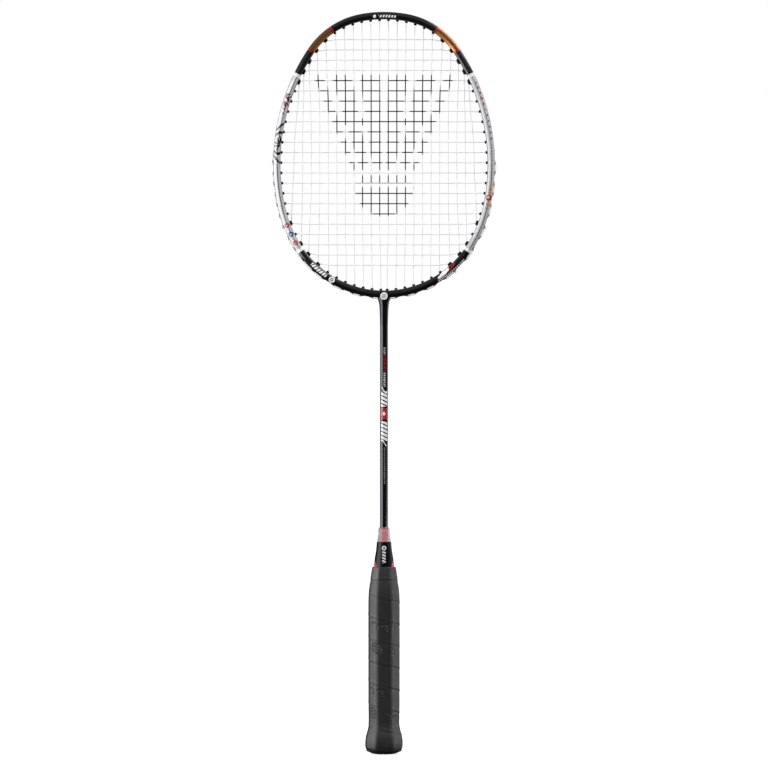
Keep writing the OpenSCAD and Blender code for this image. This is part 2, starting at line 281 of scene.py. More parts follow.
def tube(route, radii, sides=8):
    """Round tube along a route of 3-D points, with closed ends and a radius at each point."""
    route = np.asarray(route, float)
    steps = np.diff(route, axis=0)
    steps /= np.linalg.norm(steps, axis=1)[:, None]
    heading = np.vstack([steps[:1], steps[:-1] + steps[1:], steps[-1:]])
    heading /= np.linalg.norm(heading, axis=1)[:, None]
    normal = np.cross(heading[0], (0, 1, 0))
    rings = []
    for middle, way, radius in zip(route, heading, radii):
        normal = normal - way * (normal @ way)
        normal /= np.linalg.norm(normal)
        side = np.cross(way, normal)
        turns = [2 * math.pi * (s + 0.5) / sides for s in range(sides)]
        rings.append([middle + radius * (normal * math.cos(t) + side * math.sin(t)) for t in turns])
    verts, faces = solid_of_rings(rings)
    return verts, flipped(faces)


def joined(parts):
    """Several (verts, faces) as one."""
    verts, faces = [], []
    for v, f in parts:
        start = len(verts)
        verts.extend(v)
        faces.extend(tuple(i + start for i in face) for face in f)
    return verts, faces


# ---- Material helpers ----


def feed(tree, socket, value):
    """Links a field or a node's output to a socket, or sets a plain value on it."""
    value = getattr(value, "socket", value)
    if isinstance(value, bpy.types.NodeSocket):
        tree.links.new(value, socket)
    else:
        socket.default_value = value


class Field:
    """A number that varies over a surface. Arithmetic on it adds Math nodes to the material."""

    def __init__(self, tree, socket):
        self.tree = tree
        self.socket = socket

    def math(self, operation, *others):
        node = self.tree.nodes.new("ShaderNodeMath")
        node.operation = operation
        for socket, value in zip(node.inputs, (self, *others)):
            feed(self.tree, socket, value)
        return Field(self.tree, node.outputs[0])

    def __add__(self, other):
        return self.math("ADD", other)

    def __sub__(self, other):
        return self.math("SUBTRACT", other)

    def __mul__(self, other):
        return self.math("MULTIPLY", other)

    def __truediv__(self, other):
        return self.math("DIVIDE", other)

    def __abs__(self):
        return self.math("ABSOLUTE")

    def above(self, limit, soft=0.1 * MM):
        """0 below the limit and 1 above it, with a soft edge."""
        if isinstance(limit, Field):
            return (self - limit).above(0.0, soft)
        node = self.tree.nodes.new("ShaderNodeMapRange")
        node.interpolation_type = "SMOOTHSTEP"
        self.tree.links.new(self.socket, node.inputs["Value"])
        node.inputs["From Min"].default_value = limit - soft
        node.inputs["From Max"].default_value = limit + soft
        return Field(self.tree, node.outputs["Result"])

    def below(self, limit, soft=0.1 * MM):
        return self.above(limit, soft).inverse()

    def near(self, middle, half, soft=0.1 * MM):
        """1 within half of the middle."""
        return abs(self - middle).below(half, soft)

    def between(self, low, high, soft=0.1 * MM):
        return self.near((low + high) / 2, (high - low) / 2, soft)

    def inverse(self):
        return self.math("MULTIPLY_ADD", -1.0, 1.0)

    def most(self, other):
        return self.math("MAXIMUM", other)

    def least(self, other):
        return self.math("MINIMUM", other)

    def wave(self, period):
        """Distance from the middle of its own repeat, from minus to plus half a period."""
        return self.math("WRAP", period / 2, -period / 2)


class Number(Field):
    """A plain number with a Field's arithmetic, for shapes that are painted and modelled alike."""

    SUMS = {
        "ADD": lambda a, b: a + b,
        "SUBTRACT": lambda a, b: a - b,
        "MULTIPLY": lambda a, b: a * b,
        "DIVIDE": lambda a, b: a / b,
        "MULTIPLY_ADD": lambda a, b, c: a * b + c,
        "ABSOLUTE": abs,
        "SQRT": math.sqrt,
        "MINIMUM": min,
        "WRAP": lambda a, high, low: (a - low) % (high - low) + low,
    }

    def __init__(self, value):
        self.value = float(value)

    def math(self, operation, *others):
        plain = [other.value if isinstance(other, Number) else other for other in others]
        return Number(self.SUMS[operation](self.value, *plain))

    def above(self, limit, soft=0.1 * MM):
        gap = (self - limit).value
        return Number(min(max(0.5 + gap / soft / 2, 0), 1))


def distance(a, b):
    return (a * a + b * b).math("SQRT")


class Paint:
    """A node material round one Principled shader. Its colour is laid on in layers by mix()."""

    def __init__(self, name, colour, **values):
        self.material = bpy.data.materials.new(name)
        self.material.use_nodes = True
        self.tree = self.material.node_tree
        self.shader = self.tree.nodes["Principled BSDF"]
        self.colour = (*colour, 1)
        self.set(**values)

    def set(self, **values):
        for key, value in values.items():
            feed(self.tree, self.shader.inputs[key.replace("_", " ")], value)

    def node(self, kind, **inputs):
        node = self.tree.nodes.new(kind)
        for key, value in inputs.items():
            feed(self.tree, node.inputs[key], value)
        return node

    def where(self):
        return self.node("ShaderNodeTexCoord").outputs["Object"]

    def place(self):
        """Object coordinates as three fields: x, y and z."""
        return self.split(self.where())

    def attribute(self, name):
        source = self.node("ShaderNodeAttribute")
        source.attribute_name = name
        return self.split(source.outputs["Vector"])

    def split(self, vector):
        node = self.node("ShaderNodeSeparateXYZ", Vector=vector)
        return [Field(self.tree, output) for output in node.outputs]

    def noise(self, scale, detail=2.0, at=None, distortion=0.0):
        values = {"Scale": scale, "Detail": detail, "Distortion": distortion}
        node = self.node("ShaderNodeTexNoise", Vector=at or self.where(), **values)
        return Field(self.tree, node.outputs[0])

    def cells(self, scale):
        node = self.node("ShaderNodeTexVoronoi", Vector=self.where(), Scale=scale)
        return Field(self.tree, node.outputs["Distance"])

    def mix(self, share, colour):
        """Puts a colour over what is there, by a field from 0 to 1."""
        node = self.tree.nodes.new("ShaderNodeMix")
        node.data_type = "RGBA"
        for index, value in (0, share), (6, self.colour), (7, (*colour, 1)):
            feed(self.tree, node.inputs[index], value)
        self.colour = node.outputs[2]

    def bump(self, height, depth, strength=1.0):
        node = self.node("ShaderNodeBump", Height=height, Distance=depth, Strength=strength)
        self.set(Normal=node.outputs[0])

    def glow(self, strength):
        self.set(Emission_Color=(1, 1, 1, 1), Emission_Strength=strength)

    def done(self, roughness, spread=0.0, scale=40.0):
        """The material. Its roughness varies a little if there is a spread, as on handled surfaces."""
        self.set(Roughness=roughness, Base_Color=self.colour)
        if spread:
            noise = self.noise(scale, 3.0)
            self.set(Roughness=noise.math("MULTIPLY_ADD", spread, roughness - spread / 2))
        return self.material


BLACK = (0.004, 0.0042, 0.0045)
WHITE = (0.86, 0.86, 0.87)
RED = (0.56, 0.02, 0.03)
DARK_RED = (0.14, 0.003, 0.012)
AMBER = (0.62, 0.21, 0.035)
BLUE = (0.03, 0.09, 0.32)
ORANGE = (0.72, 0.36, 0.08)
PINK = (0.75, 0.42, 0.46)
ROSE = (0.9, 0.5, 0.52)
LIGHT_RED = (0.65, 0.08, 0.09)
BRIGHT = (0.92, 0.92, 0.92)
SILVER = (0.82, 0.82, 0.84)
DARK_GREY = (0.05, 0.05, 0.055)
# Tint of the reflections in black lacquer
COOL = (0.85, 0.93, 1.0, 1)

# ---- Frame tube ----

FLAT_H = 2.9 * MM
BEVEL_W = 0.5 * MM
BEVEL_H = 4.1 * MM
# How far the tube's edges are rounded, and the depth that stands for no groove
EDGE_R = 0.45 * MM
NO_GROOVE = 0.02 * MM


def tube_section(groove):
    """Outline of the frame tube: u outwards from the inner edge, and y."""
    w, d, g = TUBE_W, TUBE_D / 2, GROOVE_W / 2
    return [
        (0, -FLAT_H), (BEVEL_W, -BEVEL_H), (w / 2, -d), (w - BEVEL_W, -BEVEL_H), (w, -FLAT_H),
        (w, -g), (w - groove, -g + 0.3 * MM), (w - groove, g - 0.3 * MM), (w, g), (w, FLAT_H),
        (w - BEVEL_W, BEVEL_H), (w / 2, d), (BEVEL_W, BEVEL_H), (0, FLAT_H),
    ]


def frame_tube(material):
    """One closed hoop. Each point keeps its length along the tube from the top and its place across."""
    rings = 620
    total = along(math.pi)
    verts, paint = [], []
    for i in range(rings):
        s = 2 * total * i / rings
        side = 1 if s <= total else -1
        s = min(s, 2 * total - s)
        a = find_angle(lambda angle: along(angle) >= s)
        for u, y in rounded(tube_section(max(groove_depth(a), NO_GROOVE)), EDGE_R):
            verts.append(by_rim(side, a, u, 0, y))
            paint.append((s, u - TUBE_W / 2, 0))
    faces = wall_faces(rings, len(verts) // rings, closed_path=True)
    obj = piece("frame_tube", verts, faces, material, "frame_lacquer", "frame_hoop", sharp=60)
    point_attribute(obj, "paint", paint)


def frame_lacquer():
    paint = Paint(
        "frame_lacquer", BLACK, Specular_IOR_Level=0.25,
        Coat_Weight=1.0, Coat_Roughness=0.06, Coat_IOR=1.6,
    )
    s, across, _ = paint.attribute("paint")
    x, y, _ = paint.place()
    right, left = x.above(0.0), x.below(0.0)
    face = abs(y).above(3.2 * MM)
    amber_from, amber_to, white_from, white_to = map(along_at_height, (658.6, 639.5, 618.6, 457.1))
    # Woven fibre shows in the shoulder's black stretch, where its lighter checks are painted glints, and in
    # the amber band as darker stripes
    weave = abs(s.wave(1.1 * MM).above(0.0) - across.wave(1.4 * MM).above(0.0))
    # Painted glints: lighter grey checks of the weave on the black stretch
    paint.mix(s.between(amber_to, white_from) * weave * 0.35, (0.06, 0.063, 0.066))
    amber = s.between(amber_from, amber_to)
    paint.mix(amber, AMBER)
    paint.mix(amber * weave * 0.6, (0.3, 0.085, 0.015))
    # Painted shade darkens the amber's outer half, and a painted highlight lightens its inner half
    paint.mix(amber * across.above(0.0, 0.8 * MM) * 0.6, (0.13, 0.04, 0.01))
    paint.mix(amber * across.below(-0.5 * MM, 0.4 * MM) * 0.7, (0.9, 0.45, 0.13))
    paint.set(Metallic=amber * 0.75)
    white = s.between(white_from, white_to)
    paint.mix(white, (0.95, 0.95, 0.95))
    # Silver between two plain white rings, with a grey pinstripe near each edge, and a dark grey line of
    # painted shade just beside the crest on its +X-facing side
    inner = s.between(white_from + 3 * MM, white_to - 3 * MM)
    paint.mix(inner, SILVER)
    crest_shade_line = (across * (right * 2.0 - 1.0)).near(0.5 * MM, 0.3 * MM)
    # Painted shade: dark grey along the crest's side that faces away from the key light
    paint.mix(inner * crest_shade_line, (0.2, 0.2, 0.21))
    paint.mix(inner * abs(across).near(3.0 * MM, 0.25 * MM), (0.34, 0.34, 0.36))
    for middle in (amber_from, amber_to):
        paint.mix(s.near(middle, 0.9 * MM), RED)
    marks = draw_marks(paint, s, across, left, right, face)
    marks = marks + crown_marks(paint, x, across, s.below(16 * MM), face)
    # Painted light: the white rings and the marks glow, so they read brighter than the lamps make them
    paint.glow((white - inner * white) * 0.15 + marks * 0.3)
    return paint.done(0.28, 0.1, 60)


# Brush strokes on the left of the head, from the top: a swirl, a blob and two dots, then strokes
# out of the inner edge. Each is a colour and points of height, place across and half width in mm.
BRUSHWORK = [
    (PINK, (600.5, 2.3, 0.3), (594.0, 2.7, 0.4), (586.5, 2.0, 0.25)),
    (DARK_RED, (600.0, -0.8, 0.6), (599.4, 1.4, 0.9), (596.8, 1.4, 0.8), (595.6, -1.2, 0.9),
     (593.8, -1.8, 0.5)),
    (BLACK, (598.6, -2.6, 0.5), (596.8, -0.2, 0.7)),
    (DARK_RED, (592.8, 1.6, 0.8), (591.0, 0.6, 1.5), (588.8, -0.2, 0.9)),
    (BLACK, (592.2, -1.1, 0.5), (590.4, -2.2, 0.5)),
    (DARK_RED, (587.0, 0.4, 0.7), (586.6, 0.2, 0.7)),
    (DARK_RED, (582.6, 0.2, 0.6), (582.2, 0.1, 0.6)),
    (BLACK, (574.4, -3.2, 0.6), (571.4, -0.4, 1.0), (567.0, 2.9, 0.5)),
    (BLACK, (564.8, -3.3, 1.2), (565.6, -1.0, 1.2), (564.0, 1.4, 1.0), (561.5, 3.0, 0.4)),
    (BLACK, (561.8, -1.4, 0.5), (557.4, -2.6, 1.1)),
]
# Four strokes that fan out from one place: the height and the place of each one's end
FAN_Z = 554.8
FAN_ENDS = [(560.6, 1.2), (556.2, 3.1), (551.8, 2.7), (548.9, 0.7)]
BRUSHWORK += [
    (BLACK, (FAN_Z + (z - FAN_Z) * 0.25, -1.9, 0.55), ((FAN_Z + z) / 2, a * 0.5 - 0.6, 0.75), (z, a, 0.35))
    for z, a in FAN_ENDS
]
BRUSHWORK += [
    (BLACK, (546.8, -3.2, 1.2), (545.8, -0.6, 1.2), (546.8, 1.5, 0.9), (549.2, 3.0, 0.4)),
    (BLACK, (545.0, 3.1, 0.45), (541.2, 0.7, 1.05), (537.2, -2.8, 0.5)),
]


def draw_marks(paint, s, across, left, right, face):
    """Plain marks in place of printed ones. Heights and places across the tube are in millimetres."""

    def laid(shape, side, colour):
        marked = shape * side * face
        paint.mix(marked, colour)
        return marked

    def from_middle(height, place=0.0):
        return distance(s - along_at_height(height), across - place * MM)

    def beads(side, low, high, pitch, half_length, place, half_width, colour, slant=0.0):
        start, end = along_at_height(high), along_at_height(low)
        soft = 0.12 * MM
        dots = (s + across * slant - start).wave(pitch * MM).near(0.0, half_length * MM, soft)
        row = s.between(start, end) * across.near(place * MM, half_width * MM, soft)
        return laid(dots * row, side, colour)

    def disc(side, height, place, radius, colour):
        return laid(from_middle(height, place).below(radius * MM), side, colour)

    def stroke(side, colour, *points):
        whole = None
        for (z0, a0, w0), (z1, a1, w1) in zip(points, points[1:]):
            ds, da = s - along_at_height(z0), across - a0 * MM
            run, rise = along_at_height(z1) - along_at_height(z0), (a1 - a0) * MM
            t = ((ds * run + da * rise) / (run ** 2 + rise ** 2)).most(0.0).least(1.0)
            gap = distance(ds - t * run, da - t * rise) - t * ((w1 - w0) * MM)
            part = gap.below(w0 * MM)
            whole = part if whole is None else whole.most(part)
        return laid(whole, side, colour)

    for colour, *points in BRUSHWORK:
        stroke(left, colour, *points)
    beads(left, 490.3, 535.8, 2.5, 0.75, -0.5, 0.55, (0.13, 0.11, 0.13))
    for height, colour, middle in (480.6, LIGHT_RED, ROSE), (472.6, BLUE, WHITE), (464.7, LIGHT_RED, ROSE):
        disc(left, height, -0.1, 2.4, colour)
        disc(left, height, 0.0, 0.9, middle)
    # Right: red dashes, dark dashes, dots, orange dashes and a disc
    beads(right, 587.7, 610.4, 5.2, 1.1, 1.5, 0.7, (0.5, 0.09, 0.16))
    beads(right, 556.7, 586.0, 5.4, 0.9, 1.7, 0.6, (0.12, 0.1, 0.13))
    beads(right, 538.0, 556.7, 2.8, 0.8, 1.2, 0.4, (0.3, 0.29, 0.33))
    beads(right, 516.7, 537.6, 2.8, 0.85, 0.6, 0.5, (0.07, 0.06, 0.09))
    beads(right, 509.5, 516.7, 3.4, 1.2, 0.6, 1.3, ORANGE)
    disc(right, 506.0, 0.3, 2.9, RED)
    disc(right, 506.3, 0.0, 1.3, WHITE)
    beads(right, 495.5, 503.0, 3.4, 1.2, 0.5, 1.3, ORANGE)
    beads(right, 462.0, 495.0, 2.8, 0.75, 0.6, 0.45, (0.16, 0.15, 0.17))
    # Black stretch below: slanted bars and a badge on the left, a white and red flash on the right
    badge_z = 431.4
    bars = beads(left, 434.6, 445.9, 2.9, 0.95, -0.2, 1.6, BRIGHT, slant=0.45)
    badge = disc(left, badge_z, 0.0, 2.8, BRIGHT)
    disc(left, badge_z, 0.0, 1.6, BLACK)
    disc(left, badge_z, 0.0, 0.8, BRIGHT)
    flash = stroke(right, BRIGHT, (433.0, 0.2, 1.2), (436.0, -0.9, 1.8), (439.6, -1.8, 1.2))
    specks = beads(right, 431.5, 451.5, 2.1, 0.6, 2.1, 0.5, BRIGHT)
    stroke(right, RED, (432.0, 0.8, 0.35), (436.6, 1.0, 0.4), (441.2, 0.0, 0.5), (445.0, -1.6, 0.5))
    stroke(right, RED, (440.4, -2.9, 0.3), (445.6, -2.8, 0.4))
    dark_ring = from_middle(badge_z).near(1.2 * MM, 0.4 * MM) * left
    return bars.most(badge).most(flash).most(specks) * dark_ring.inverse()


def crown_marks(paint, x, across, head, face):
    """A dot and a row of slanted bars at the top of the head."""
    low = across + 0.7 * MM
    bars = (x - across * 0.4).wave(2.6 * MM).near(0.0, 0.75 * MM) * x.near(3.0 * MM, 7.8 * MM)
    dot = distance(x + 8.6 * MM, low).below(1.4 * MM)
    marked = (bars * low.near(0.0, 1.05 * MM)).most(dot) * head * face
    paint.mix(marked, BRIGHT)
    return marked


# ---- T-joint ----

TEE_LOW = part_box("tee_joint")[0].z
SHAFT_R = (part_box("shaft")[1].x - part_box("shaft")[0].x) / 2
BADGE_Z = 416.6 * MM
BADGE_R = 3.3 * MM


def tee_neck():
    """Neck of the joint: round at the shaft, and wider than deep where it meets the frame."""
    stations = [
        (394, 3.68, 3.68), (400, 3.85, 3.9), (405, 4.05, 4.25), (409, 4.4, 4.7), (411.6, 4.9, 5.0),
        (413.4, 5.6, 5.15), (415.5, 5.9, 5.25), (418, 5.2, 5.2), (420, 3.6, 5.0),
    ]
    foot = SHAFT_R + 0.03 * MM
    rings = [circle(foot, foot, TEE_LOW, 48)]
    rings += [circle(half_x * MM, half_y * MM, z * MM, 48) for z, half_x, half_y in stations]
    return solid_of_rings(rings)


def tee_stub():
    """Short stretch of the frame tube that the neck is moulded round."""
    half, rings = math.radians(11), 25
    section = rounded(tube_section(NO_GROOVE), EDGE_R)
    stack = []
    for i in range(rings):
        a = math.pi + half * (2 * i / (rings - 1) - 1)
        side = 1 if a <= math.pi else -1
        stack.append([by_rim(side, min(a, 2 * math.pi - a), u, 0, y) for u, y in section])
    return solid_of_rings(stack)


def smooth_union(name, parts, voxel, rounds):
    """Parts that overlap, remeshed into one smoothed skin, so that the corners between them fill."""
    verts, faces = joined(parts)
    mesh = bpy.data.meshes.new(name + "_raw")
    mesh.from_pydata([tuple(v) for v in verts], [], faces)
    raw = added(name + "_raw", mesh)
    remesh = raw.modifiers.new("remesh", "REMESH")
    remesh.mode = "VOXEL"
    remesh.voxel_size = voxel
    smooth = raw.modifiers.new("smooth", "SMOOTH")
    smooth.factor = 0.5
    smooth.iterations = rounds
    depsgraph = bpy.context.evaluated_depsgraph_get()
    final = bpy.data.meshes.new_from_object(raw.evaluated_get(depsgraph))
    final.name = name
    bpy.data.objects.remove(raw)
    return added(name, final)


def tee_joint(material):
    obj = smooth_union("tee_joint_skin", [tee_neck(), tee_stub()], 0.3 * MM, 14)
    dress(obj, material, "tee_lacquer", "tee_joint")


def tee_lacquer():
    paint = Paint("tee_lacquer", (0.003, 0.0032, 0.0036), Specular_IOR_Level=0.6, Specular_Tint=COOL)
    mottle = paint.noise(300, 3.0)
    paint.mix(mottle.above(0.5, 0.2) * 0.4, (0.004, 0.004, 0.005))
    return paint.done(0.17, 0.06)


def tee_badge(material):
    """Thin domed disc set on the front of the joint."""
    hole_r, edge_t, middle_t = 0.3 * MM, 0.12 * MM, 0.22 * MM
    outline = rounded([(hole_r, 0), (BADGE_R, 0), (BADGE_R, edge_t), (hole_r, middle_t)], 0.06 * MM)
    verts, faces = lathe(outline)
    front = -(TUBE_D / 2 - edge_t)
    verts = [(x, front - z, BADGE_Z + y) for x, y, z in verts]
    # The middle is closed by a small flat disc
    turns = [2 * math.pi * i / 16 for i in range(16)]
    hub_r, hub_y = 0.32 * MM, front - 0.216 * MM
    hub = [(hub_r * math.sin(t), hub_y, BADGE_Z + hub_r * math.cos(t)) for t in turns]
    verts, faces = joined([(verts, faces), (hub, [tuple(range(16))])])
    piece("tee_badge", verts, faces, material, "badge")


def badge_print():
    """White disc with two plain grey rings."""
    paint = Paint("badge_print", (0.92, 0.92, 0.93), Coat_Weight=0.6, Coat_Roughness=0.05)
    x, _, z = paint.place()
    r = distance(x, z - BADGE_Z)
    paint.mix(r.below(0.8 * MM), DARK_GREY)
    paint.mix(r.near(1.95 * MM, 0.3 * MM), DARK_GREY)
    # Painted light: the white outer band and the white ring between the grey centre and the grey ring glow
    paint.glow(r.above(2.2 * MM) * 0.35 + r.near(1.25 * MM, 0.4 * MM) * 0.35)
    return paint.done(0.3, 0.1)


# ---- Grommets ----


def grommet(a, side, barrel, bore, flange):
    """Barrel with a rounded nub inside the head and a thin flange on the rim."""
    low, seat_u, high = -NUB, seat(a), seat(a) + FLANGE_T
    corners = [(bore, low), (barrel, low), (barrel, seat_u), (flange, seat_u), (flange, high), (bore, high)]
    verts, faces = lathe(rounded(corners, 0.35 * MM), 20)
    verts = [by_rim(side, a, u, x, y) for x, y, u in verts]
    return verts, faces if side > 0 else flipped(faces)


def corner_web(a, side, length):
    """Wedge of nylon beside a shared hole's nub, long along the tube."""
    proud, sunk = -2.2 * MM, 0.4 * MM
    corners = [(proud, -1.1 * MM), (sunk, -1.6 * MM), (sunk, 1.6 * MM), (proud, 1.1 * MM)]
    outline = rounded(corners, 0.5 * MM)
    rings = []
    for place, size in (-0.5, 0.25), (-0.42, 0.8), (-0.2, 1.0), (0.2, 1.0), (0.42, 0.8), (0.5, 0.25):
        # The sunk side stays in the tube, and the rest tapers to the ends
        ring = [(u if u > 0 else u * size, y * size) for u, y in outline]
        rings.append([by_rim(side, a, u, place * length, y) for u, y in ring])
    verts, faces = solid_of_rings(rings)
    return verts, faces if side > 0 else flipped(faces)


def grommet_group(name, angles, sides, material, shared=False):
    barrel, bore = (1.5 * MM, 0.8 * MM) if shared else (1.3 * MM, 0.5 * MM)
    parts = []
    for side in sides:
        for a in angles:
            parts.append(grommet(a, side, barrel, bore, 1.9 * MM))
            if shared:
                # The wedge lies towards the head's widest point
                shift = SHARED_SHIFT if a < math.pi / 2 else -SHARED_SHIFT
                parts.append(corner_web(a + shift * 0.42, side, 4.6 * MM))
    verts, faces = joined(parts)
    piece(name + "_moulded", verts, faces, material, "grommet_nylon", name, sharp=50)


def grommets(material):
    both = (1, -1)
    grommet_group("grommets_top", TOP_HOLES, both, material)
    grommet_group("grommets_shoulder", SHOULDER_HOLES, both, material, shared=True)
    grommet_group("grommets_right", SIDE_HOLES, (1,), material)
    grommet_group("grommets_left", SIDE_HOLES, (-1,), material)
    grommet_group("grommets_lower_corner", LOWER_HOLES, both, material, shared=True)
    grommet_group("grommets_bottom", BOTTOM_HOLES, both, material)


def grommet_nylon():
    paint = Paint("grommet_nylon", (0.004, 0.004, 0.0045), Specular_IOR_Level=0.25)
    speck = paint.noise(900, 2.0)
    paint.mix(speck.above(0.62, 0.1), (0.007, 0.007, 0.008))
    paint.bump(speck, 0.03 * MM, 0.4)
    return paint.done(0.5, 0.15, 200)


# ---- Strings, woven ----

# Length over which a main bends from its straight line to its hole
FAN_LENGTH = 62 * MM
# Points of a string from one crossing to the next
WEAVE_STEPS = 4
# How far apart in y two strings lie in a shared hole, from its middle
SHARED_SPREAD = 0.4 * MM
# Angle along the rim between a main's own end of a shared nub and the hole
SHARED_SHIFT = math.radians(1.15)
# Thickness of the stencil's ink on a string
INK_T = 0.12 * MM
# The mains from left to right, as side and number
MAIN_ORDER = [(-1, k) for k in range(MAINS, 0, -1)] + [(1, k) for k in range(1, MAINS + 1)]


def smooth_fall(gap):
    t = min(max(gap / FAN_LENGTH, 0), 1)
    return 1 - t * t * (3 - 2 * t)


def main_hole(side, k, top):
    """A main's hole as side, angle, shift of the string on the nub, and y."""
    a = top_angle(k) if top else bottom_angle(k)
    if k <= (TOP_ONLY if top else BOTTOM_ONLY):
        return side, a, 0.0, 0.0
    return side, a, SHARED_SHIFT if top else -SHARED_SHIFT, SHARED_SPREAD


def main_line(k, z):
    """x of main k at a height: straight in the middle, and led to its holes at the ends."""
    x = straight = main_x(k)
    for top in (True, False):
        _, a, shift, _ = main_hole(1, k, top)
        end_x, end_z = rim(a + shift, NUB_END)
        x += (end_x - straight) * smooth_fall(end_z - z if top else z - end_z)
    return x


def bed_crossings():
    """Each crossing of main number i from the left and row j, as the point that the main passes."""
    found = {}
    margin = 1.5 * MM
    for i, (side, k) in enumerate(MAIN_ORDER):
        low, high = rim(bottom_angle(k), 0)[1] + margin, rim(top_angle(k), 0)[1] - margin
        for j in range(1, CROSSES + 1):
            z = cross_z(j)
            if low < z < high:
                # The mains pass in front at every second crossing
                y = -STRING_R if (i + j) % 2 == 0 else STRING_R
                found[i, j] = np.array([side * main_line(k, z), y, z])
    return found


def woven(stops):
    """Points along a run that swings forwards and back between its stops."""
    points = []
    for p, q in zip(stops, stops[1:]):
        for s in range(WEAVE_STEPS):
            t = s / WEAVE_STEPS
            point = p + (q - p) * t
            point[1] = p[1] + (q[1] - p[1]) * (1 - math.cos(math.pi * t)) / 2
            points.append(point)
    return points + [stops[-1]]


def hole_points(hole):
    """Way through a hole, from inside the head out over the flange."""
    side, a, _, y = hole
    top = run_height(a)
    return [by_rim(side, a, u, 0, y) for u in (-NUB, TUBE_W * 0.5, top - 0.9 * MM, top - 0.25 * MM)]


def rim_run(hole, next_hole):
    """Stretch of string outside the tube, from one hole to the next."""
    (side1, a1, _, y1), (side2, a2, _, y2) = hole, next_hole
    steps = 6
    points = []
    for i in range(steps + 1):
        # It starts and ends a little away from the holes
        t = 0.07 + 0.86 * i / steps
        a = side1 * a1 + (side2 * a2 - side1 * a1) * t
        side = 1 if a >= 0 else -1
        points.append(by_rim(side, abs(a), run_height(abs(a)), 0, y1 + (y2 - y1) * t))
    return points


def knot(hole):
    """Tie-off: the string ends in a small coil over the grommet."""
    side, a, _, y = hole
    coil_r, turns, steps = 0.55 * MM, 2.5, 30
    points = []
    for i in range(steps + 1):
        turn = 2 * math.pi * turns * i / steps
        u = run_height(a) + (0.1 + 0.9 * i / steps) * MM
        points.append(by_rim(side, a, u, coil_r * math.sin(turn), y + coil_r * math.cos(turn)))
    return points


def laced(runs):
    """Route of a whole string. A run is a hole, the points of its crossings, and a hole."""
    route = knot(runs[0][0])[::-1]
    for i, (first, crossings, last) in enumerate(runs):
        start, end = (by_rim(side, a + shift, NUB_END, 0, y) for side, a, shift, y in (first, last))
        route += hole_points(first)[::-1] + woven([start, *crossings, end]) + hole_points(last)
        if i + 1 < len(runs):
            route += rim_run(last, runs[i + 1][0])
    return route + knot(runs[-1][2])


def turned(run):
    first, crossings, last = run
    return last, crossings[::-1], first


def string(name, runs, material, node):
    """One laced string, thicker under the stencil's ink."""
    route = laced(runs)
    radii = [STRING_R + INK_T * stencil(Number(x), Number(z)).value for x, y, z in route]
    verts, faces = tube(route, radii)
    piece(name, verts, faces, material, "string_nylon", node)


def strings(material):
    """The mains go up and down from the left, and the crosses to and fro from the top."""
    bed = bed_crossings()
    runs = []
    for i, (side, k) in enumerate(MAIN_ORDER):
        crossings = [bed[i, j] for j in range(CROSSES, 0, -1) if (i, j) in bed]
        run = main_hole(side, k, False), crossings, main_hole(side, k, True)
        runs.append(turned(run) if i % 2 else run)
    string("main_string_woven", runs, material, "main_string")
    runs = []
    for j in range(1, CROSSES + 1):
        y = -SHARED_SPREAD if j in SHARED_ROWS else 0.0
        crossings = [bed[i, j] * (1, -1, 1) for i in range(2 * MAINS) if (i, j) in bed]
        run = (-1, row_angle(j), 0.0, y), crossings, (1, row_angle(j), 0.0, y)
        runs.append(run if j % 2 else turned(run))
    string("cross_string_woven", runs, material, "cross_string")


# Painted light: the strings glow by this strength, so they read paler than the lamps make them
STRING_PAINTED_GLOW = 0.2


def string_nylon():
    """White braided nylon, with a plain shuttlecock stencilled on it in black ink."""
    paint = Paint(
        "string_nylon", (0.9, 0.9, 0.89), Specular_IOR_Level=0.15, Emission_Color=(0.95, 0.97, 1, 1)
    )
    x, y, z = paint.place()
    braid = (x + z + y * 2.0).wave(0.5 * MM)
    fine = paint.noise(2500, 1.0)
    paint.mix(fine.above(0.55, 0.1) * 0.5, (0.7, 0.7, 0.68))
    ink = stencil(x, z)
    paint.mix(ink, (0.002, 0.002, 0.0025))
    # Painted light: the string glows everywhere but under the ink
    paint.set(Emission_Strength=ink.inverse() * STRING_PAINTED_GLOW)
    paint.bump(abs(braid) * 1000.0 + fine * 0.3, 0.04 * MM, 0.5)
    return paint.done(0.38, 0.15, 300)


def stencil(x, z):
    """1 inside a shuttlecock: a round cork below a band, and a flaring skirt with slits above it."""
    edge = 0.8 * MM
    cork_z, cork_r = 516 * MM, 27 * MM
    cork = distance(x, z - cork_z).below(cork_r, edge) * z.below(cork_z, edge)
    band = z.near(cork_z + 7 * MM, 3.6 * MM, edge) * abs(x).below(26.5 * MM, edge)
    low, high = cork_z + 15 * MM, 618 * MM
    half = (z - low) / (high - low) * (36 * MM) + 29 * MM
    skirt = z.between(low, high, edge) * abs(x).below(half, edge)
    ring = z.near(low + 44 * MM, 3.2 * MM, edge)
    slits = abs((x / half).wave(0.4)).below(0.055, 0.02) * ring.inverse()
    return (cork + band + skirt * slits.inverse()).least(1.0)


# ---- Shaft and cone ----

CONE_LOW, CONE_TOP = (corner.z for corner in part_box("cone_tip"))
SLEEVE_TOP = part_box("cone_sleeve")[1].z


def shaft(material):
    low, high = (corner.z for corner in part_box("shaft"))
    bore, count = 2.6 * MM, 60
    levels = [low + (high - low) * i / count for i in range(count + 1)]
    verts, faces = lathe([(SHAFT_R, z) for z in levels] + [(bore, z) for z in levels[::-1]])
    piece("shaft_tube", verts, faces, material, "shaft_lacquer", "shaft", sharp=40)


